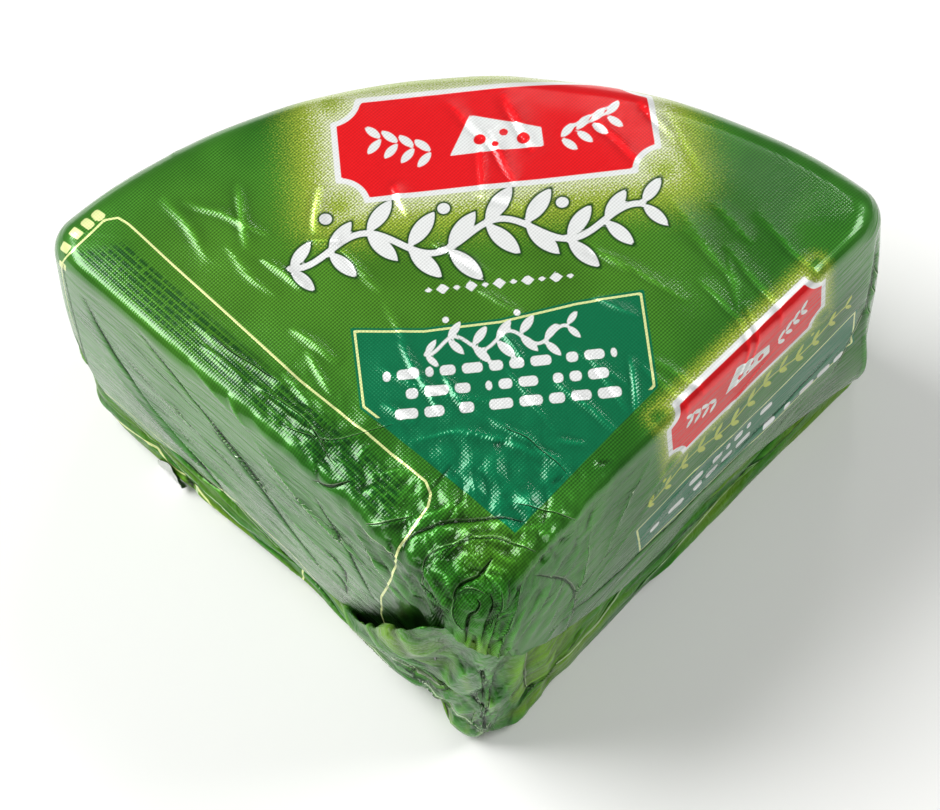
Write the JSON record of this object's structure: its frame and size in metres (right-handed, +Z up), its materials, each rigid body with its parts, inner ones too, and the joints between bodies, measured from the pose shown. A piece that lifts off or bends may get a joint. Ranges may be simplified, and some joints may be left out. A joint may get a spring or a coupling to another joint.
{
  "type": "foil-wrapped blue cheese wedge",
  "caption": "Large wedge of soft blue cheese shut in printed, embossed foil: a quarter of a wheel in plan, cut to half of its height, lying on its flat side.",
  "frame": {"origin": "centre of the wedge's box on the surface it lies on", "axes": "+Z up, -Y towards the point of the wedge, +Y towards its curved rind side, +X to its right as seen from the point"},
  "size_m": [0.2058, 0.1472, 0.0884],
  "materials": {
    "printed_foil": "thin embossed aluminium foil with a clear varnish over a green print, creased at the folds"
  },
  "bodies": {
    "root": {"wrapped_wedge": "printed_foil"}
  },
  "joints": []
}
